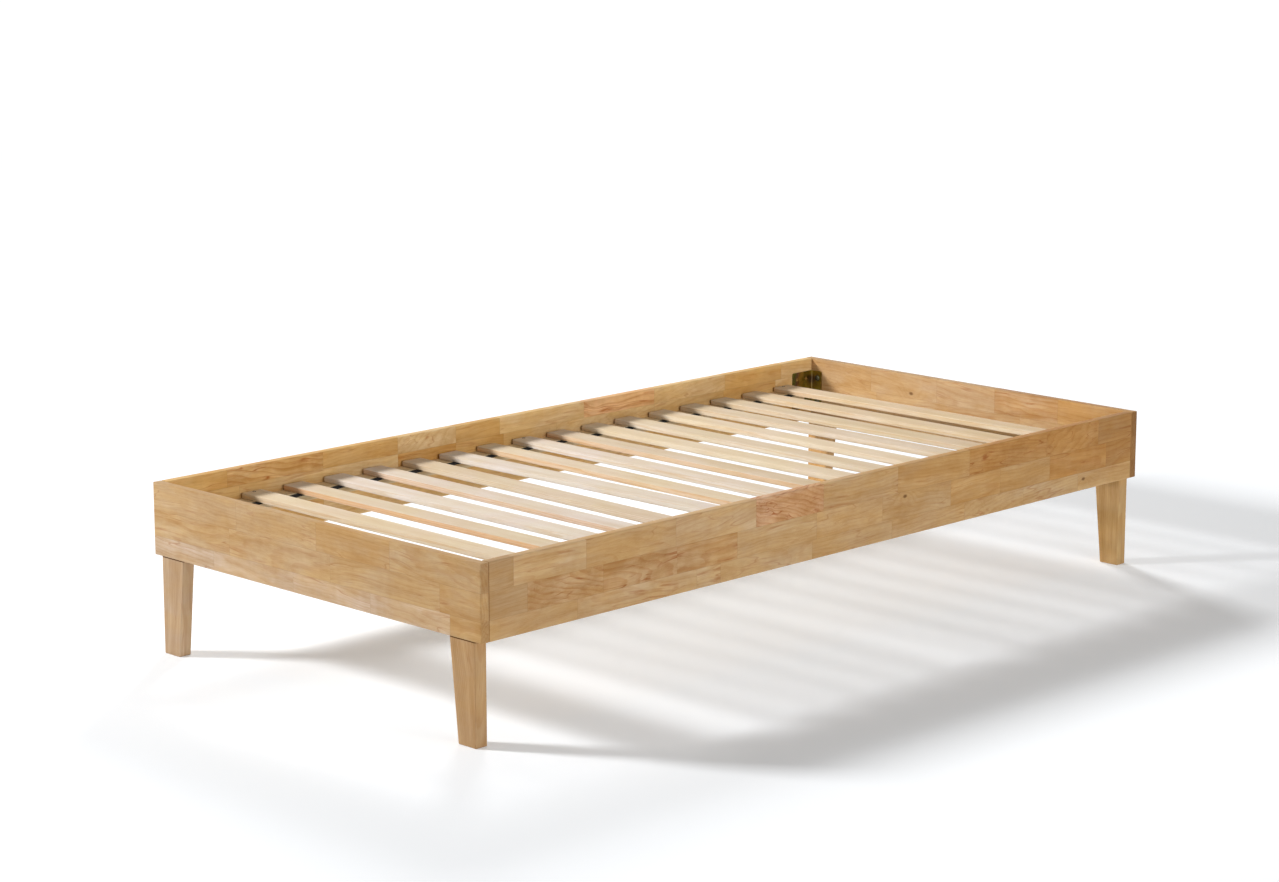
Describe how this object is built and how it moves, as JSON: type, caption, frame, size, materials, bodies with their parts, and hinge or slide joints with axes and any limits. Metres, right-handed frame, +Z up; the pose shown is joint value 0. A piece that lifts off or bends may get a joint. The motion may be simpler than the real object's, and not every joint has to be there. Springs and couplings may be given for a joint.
{
  "type": "slatted single bed frame",
  "caption": "Low wooden single bed frame on four tapered legs, with flush board sides and a roll-out base of webbing-strapped slats on side ledges.",
  "frame": {"origin": "on the floor, under the middle of the frame", "axes": "+X along the bed from the foot end to the head end, +Y from the front rail to the rear rail, +Z up"},
  "size_m": [1.96, 0.96, 0.348],
  "materials": {
    "end_board_wood": "oiled, finger-jointed solid wood",
    "side_rail_wood": "oiled, finger-jointed solid wood",
    "leg_wood": "oiled solid wood",
    "slat_wood": "planed, untreated softwood",
    "ledge_wood": "planed, untreated softwood",
    "dowel_wood": "plain beech",
    "webbing": "woven",
    "bracket_steel": "zinc plated, yellow passivated",
    "bracket_screw_steel": "zinc plated, yellow passivated",
    "bolt_steel": "zinc plated",
    "insert_steel": "zinc plated",
    "screw_steel": "zinc plated, yellow passivated",
    "dark_screw_steel": "black phosphated"
  },
  "bodies": {
    "root": {"foot_end_board": "end_board_wood", "head_end_board": "end_board_wood", "front_side_rail": "side_rail_wood", "rear_side_rail": "side_rail_wood", "foot_front_leg": "leg_wood", "foot_rear_leg": "leg_wood", "head_front_leg": "leg_wood", "head_rear_leg": "leg_wood", "foot_front_bracket": "bracket_steel", "foot_rear_bracket": "bracket_steel", "head_front_bracket": "bracket_steel", "head_rear_bracket": "bracket_steel", "slat_01": "slat_wood", "slat_02": "slat_wood", "slat_03": "slat_wood", "slat_04": "slat_wood", "slat_05": "slat_wood", "slat_06": "slat_wood", "slat_07": "slat_wood", "slat_08": "slat_wood", "slat_09": "slat_wood", "slat_10": "slat_wood", "slat_11": "slat_wood", "slat_12": "slat_wood", "slat_13": "slat_wood", "slat_14": "slat_wood", "slat_15": "slat_wood", "slat_16": "slat_wood", "front_slat_ledge": "ledge_wood", "front_slat_strap": "webbing", "rear_slat_ledge": "ledge_wood", "rear_slat_strap": "webbing", "slat_screws": "dark_screw_steel", "ledge_screws": "screw_steel", "bracket_screws": "bracket_screw_steel", "bracket_bolts": "bolt_steel", "bracket_bolt_inserts": "insert_steel", "leg_hanger_bolts": "insert_steel", "leg_bolt_inserts": "insert_steel", "corner_dowels": "dowel_wood"}
  },
  "joints": []
}
